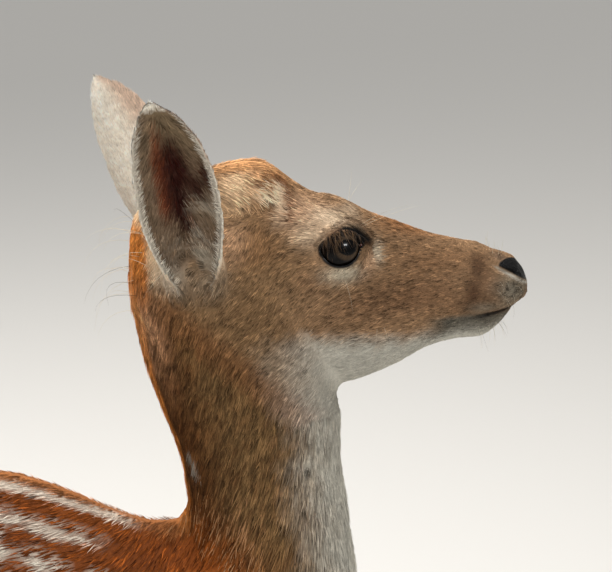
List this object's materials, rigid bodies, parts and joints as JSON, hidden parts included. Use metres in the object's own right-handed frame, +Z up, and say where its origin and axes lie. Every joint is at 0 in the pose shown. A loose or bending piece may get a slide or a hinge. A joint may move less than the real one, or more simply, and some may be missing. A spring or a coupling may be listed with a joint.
{
  "type": "fallow deer doe, standing still model",
  "caption": "Life-size still model of a fallow doe in summer coat, standing with the head raised and turned a little to its left.",
  "frame": {"origin": "on the floor, under the middle of the model's box", "axes": "+X towards the head, +Y to the animal's left, +Z up"},
  "size_m": [0.9196, 0.2524, 1.0842],
  "materials": {
    "coat": "short summer hair, red-brown with white spots, cream throat and belly",
    "horn": "dark horn, satin",
    "eye": "wet, dark brown, glossy"
  },
  "bodies": {
    "root": {"claw_foreleg_left_inner": "horn", "claw_foreleg_left_outer": "horn", "claw_foreleg_right_inner": "horn", "claw_foreleg_right_outer": "horn", "claw_hindleg_left_inner": "horn", "claw_hindleg_left_outer": "horn", "claw_hindleg_right_inner": "horn", "claw_hindleg_right_outer": "horn", "dewclaw_foreleg_left_inner": "horn", "dewclaw_foreleg_left_outer": "horn", "dewclaw_foreleg_right_inner": "horn", "dewclaw_foreleg_right_outer": "horn", "dewclaw_hindleg_left_inner": "horn", "dewclaw_hindleg_left_outer": "horn", "dewclaw_hindleg_right_inner": "horn", "dewclaw_hindleg_right_outer": "horn", "ear_left": "coat", "ear_right": "coat", "eye_left": "eye", "eye_right": "eye", "foreleg_left": "coat", "foreleg_right": "coat", "head": "coat", "hindleg_left": "coat", "hindleg_right": "coat", "neck": "coat", "tail": "coat", "trunk": "coat"}
  },
  "joints": []
}
